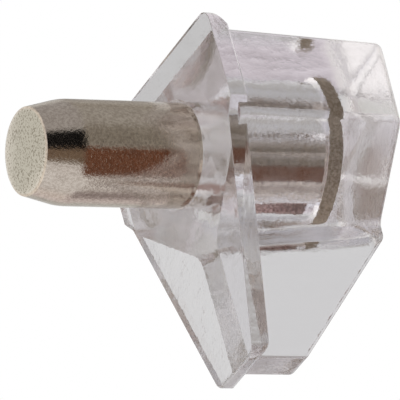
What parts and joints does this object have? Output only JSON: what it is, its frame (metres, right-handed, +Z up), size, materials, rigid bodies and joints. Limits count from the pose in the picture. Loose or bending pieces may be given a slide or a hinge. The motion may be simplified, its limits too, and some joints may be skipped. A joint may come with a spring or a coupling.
{
  "type": "shelf support pin",
  "caption": "Shelf support with a nickel-plated pin for the cabinet side's hole and a clear plastic bracket with a flat ledge, boss and web that carries the shelf.",
  "frame": {"origin": "on the pin's axis, in the bracket's face that touches the cabinet side", "axes": "+X runs from the cabinet side out under the shelf, -X is the way the pin goes in, +Z points up to the shelf"},
  "size_m": [0.018, 0.0116, 0.0164],
  "materials": {
    "bracket": "clear moulded polycarbonate, polished",
    "pin": "nickel-plated steel"
  },
  "bodies": {
    "root": {"bracket": "bracket", "pin": "pin"}
  },
  "joints": []
}
